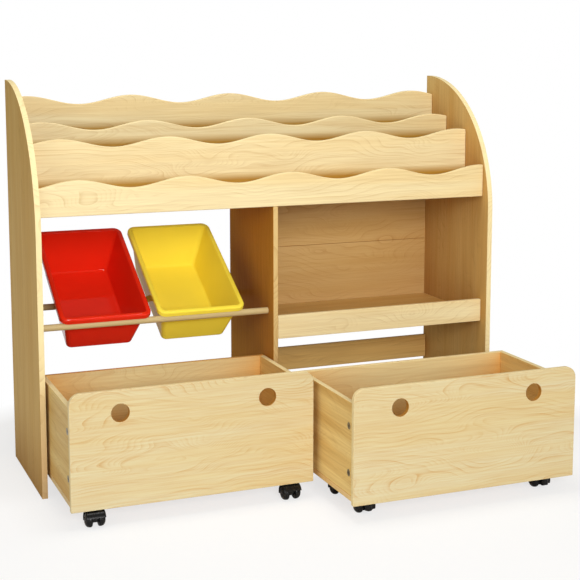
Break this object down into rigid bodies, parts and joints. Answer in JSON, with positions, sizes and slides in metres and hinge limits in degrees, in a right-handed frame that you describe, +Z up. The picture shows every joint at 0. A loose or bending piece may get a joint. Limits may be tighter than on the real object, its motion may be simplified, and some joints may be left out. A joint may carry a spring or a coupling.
{
  "type": "bookshelf",
  "caption": "Child's bookcase with a stepped rack of wavy-edged boards, two plastic bins tilted on rods, an open cubby and wooden boxes on twin-wheel casters",
  "frame": {"origin": "on the ground under the middle of the divider's foot line, halfway across the carcass and halfway between the side panels' front and rear edges", "axes": "+X to the right along the carcass's width, +Y to the back, +Z up"},
  "size_m": [1.1, 0.7392, 0.89],
  "materials": {
    "pale_wood": "clear satin varnish over straight pine grain",
    "back_wood": "plain thin board",
    "rod_wood": "sanded dowel, grain along the rod",
    "red_plastic": "moulded, glossy",
    "yellow_plastic": "moulded, glossy",
    "black_plastic": "moulded",
    "steel": "zinc plated"
  },
  "bodies": {
    "carcass": {"left_side_panel": "pale_wood", "right_side_panel": "pale_wood", "centre_divider": "pale_wood", "rack_floor": "pale_wood", "front_wave_board": "pale_wood", "second_wave_board": "pale_wood", "third_wave_board": "pale_wood", "back_wave_board": "pale_wood", "upper_back_board": "back_wood", "lower_back_board": "back_wood", "cubby_shelf": "pale_wood", "shelf_fascia": "pale_wood", "rear_rail": "pale_wood", "front_rod": "rod_wood", "rear_rod": "rod_wood", "rack_dowels": "rod_wood", "cubby_dowels": "rod_wood"},
    "red_bin_body": {"red_bin": "red_plastic"},
    "yellow_bin_body": {"yellow_bin": "yellow_plastic"},
    "left_rolling_box": {"left_box_front": "pale_wood", "left_box_back": "pale_wood", "left_box_left_side": "pale_wood", "left_box_right_side": "pale_wood", "left_box_bottom": "pale_wood", "left_box_cam_locks": "steel", "left_box_cam_bolts": "steel", "left_box_caster_plates": "steel", "left_box_screws": "steel"},
    "left_caster_1_hood": {"left_box_caster_1_hood": "black_plastic"},
    "left_caster_1_wheels": {"left_box_caster_1_wheels": "black_plastic"},
    "left_caster_2_hood": {"left_box_caster_2_hood": "black_plastic"},
    "left_caster_2_wheels": {"left_box_caster_2_wheels": "black_plastic"},
    "left_caster_3_hood": {"left_box_caster_3_hood": "black_plastic"},
    "left_caster_3_wheels": {"left_box_caster_3_wheels": "black_plastic"},
    "left_caster_4_hood": {"left_box_caster_4_hood": "black_plastic"},
    "left_caster_4_wheels": {"left_box_caster_4_wheels": "black_plastic"},
    "right_rolling_box": {"right_box_front": "pale_wood", "right_box_back": "pale_wood", "right_box_left_side": "pale_wood", "right_box_right_side": "pale_wood", "right_box_bottom": "pale_wood", "right_box_cam_locks": "steel", "right_box_cam_bolts": "steel", "right_box_caster_plates": "steel", "right_box_screws": "steel"},
    "right_caster_1_hood": {"right_box_caster_1_hood": "black_plastic"},
    "right_caster_1_wheels": {"right_box_caster_1_wheels": "black_plastic"},
    "right_caster_2_hood": {"right_box_caster_2_hood": "black_plastic"},
    "right_caster_2_wheels": {"right_box_caster_2_wheels": "black_plastic"},
    "right_caster_3_hood": {"right_box_caster_3_hood": "black_plastic"},
    "right_caster_3_wheels": {"right_box_caster_3_wheels": "black_plastic"},
    "right_caster_4_hood": {"right_box_caster_4_hood": "black_plastic"},
    "right_caster_4_wheels": {"right_box_caster_4_wheels": "black_plastic"}
  },
  "joints": [
    {"name": "red_bin_lift", "type": "slide", "parent": "carcass", "child": "red_bin_body", "axis": [0, -0.5, 0.866], "range_m": [0, 0.06]},
    {"name": "yellow_bin_lift", "type": "slide", "parent": "carcass", "child": "yellow_bin_body", "axis": [0, -0.5, 0.866], "range_m": [0, 0.06]},
    {"name": "left_box_roll", "type": "slide", "parent": "carcass", "child": "left_rolling_box", "axis": [0, -1, 0], "range_m": [-0.214, 0.406]},
    {"name": "left_caster_1_swivel", "type": "hinge", "parent": "left_rolling_box", "child": "left_caster_1_hood", "pos_m": [-0.483, -0.333, 0.032], "axis": [0, 0, 1], "continuous": true},
    {"name": "left_caster_1_spin", "type": "hinge", "parent": "left_caster_1_hood", "child": "left_caster_1_wheels", "pos_m": [-0.483, -0.357, 0.016], "axis": [1, 0, 0], "continuous": true},
    {"name": "left_caster_2_swivel", "type": "hinge", "parent": "left_rolling_box", "child": "left_caster_2_hood", "pos_m": [-0.055, -0.333, 0.032], "axis": [0, 0, 1], "continuous": true},
    {"name": "left_caster_2_spin", "type": "hinge", "parent": "left_caster_2_hood", "child": "left_caster_2_wheels", "pos_m": [-0.055, -0.357, 0.016], "axis": [1, 0, 0], "continuous": true},
    {"name": "left_caster_3_swivel", "type": "hinge", "parent": "left_rolling_box", "child": "left_caster_3_hood", "pos_m": [-0.483, -0.163, 0.032], "axis": [0, 0, 1], "continuous": true},
    {"name": "left_caster_3_spin", "type": "hinge", "parent": "left_caster_3_hood", "child": "left_caster_3_wheels", "pos_m": [-0.483, -0.187, 0.016], "axis": [1, 0, 0], "continuous": true},
    {"name": "left_caster_4_swivel", "type": "hinge", "parent": "left_rolling_box", "child": "left_caster_4_hood", "pos_m": [-0.055, -0.163, 0.032], "axis": [0, 0, 1], "continuous": true},
    {"name": "left_caster_4_spin", "type": "hinge", "parent": "left_caster_4_hood", "child": "left_caster_4_wheels", "pos_m": [-0.055, -0.187, 0.016], "axis": [1, 0, 0], "continuous": true},
    {"name": "right_box_roll", "type": "slide", "parent": "carcass", "child": "right_rolling_box", "axis": [0, -1, 0], "range_m": [-0.391, 0.229]},
    {"name": "right_caster_1_swivel", "type": "hinge", "parent": "right_rolling_box", "child": "right_caster_1_hood", "pos_m": [0.058, -0.51, 0.032], "axis": [0, 0, 1], "continuous": true},
    {"name": "right_caster_1_spin", "type": "hinge", "parent": "right_caster_1_hood", "child": "right_caster_1_wheels", "pos_m": [0.058, -0.486, 0.016], "axis": [1, 0, 0], "continuous": true},
    {"name": "right_caster_2_swivel", "type": "hinge", "parent": "right_rolling_box", "child": "right_caster_2_hood", "pos_m": [0.486, -0.51, 0.032], "axis": [0, 0, 1], "continuous": true},
    {"name": "right_caster_2_spin", "type": "hinge", "parent": "right_caster_2_hood", "child": "right_caster_2_wheels", "pos_m": [0.486, -0.486, 0.016], "axis": [1, 0, 0], "continuous": true},
    {"name": "right_caster_3_swivel", "type": "hinge", "parent": "right_rolling_box", "child": "right_caster_3_hood", "pos_m": [0.058, -0.34, 0.032], "axis": [0, 0, 1], "continuous": true},
    {"name": "right_caster_3_spin", "type": "hinge", "parent": "right_caster_3_hood", "child": "right_caster_3_wheels", "pos_m": [0.058, -0.364, 0.016], "axis": [1, 0, 0], "continuous": true},
    {"name": "right_caster_4_swivel", "type": "hinge", "parent": "right_rolling_box", "child": "right_caster_4_hood", "pos_m": [0.486, -0.34, 0.032], "axis": [0, 0, 1], "continuous": true},
    {"name": "right_caster_4_spin", "type": "hinge", "parent": "right_caster_4_hood", "child": "right_caster_4_wheels", "pos_m": [0.486, -0.364, 0.016], "axis": [1, 0, 0], "continuous": true}
  ]
}
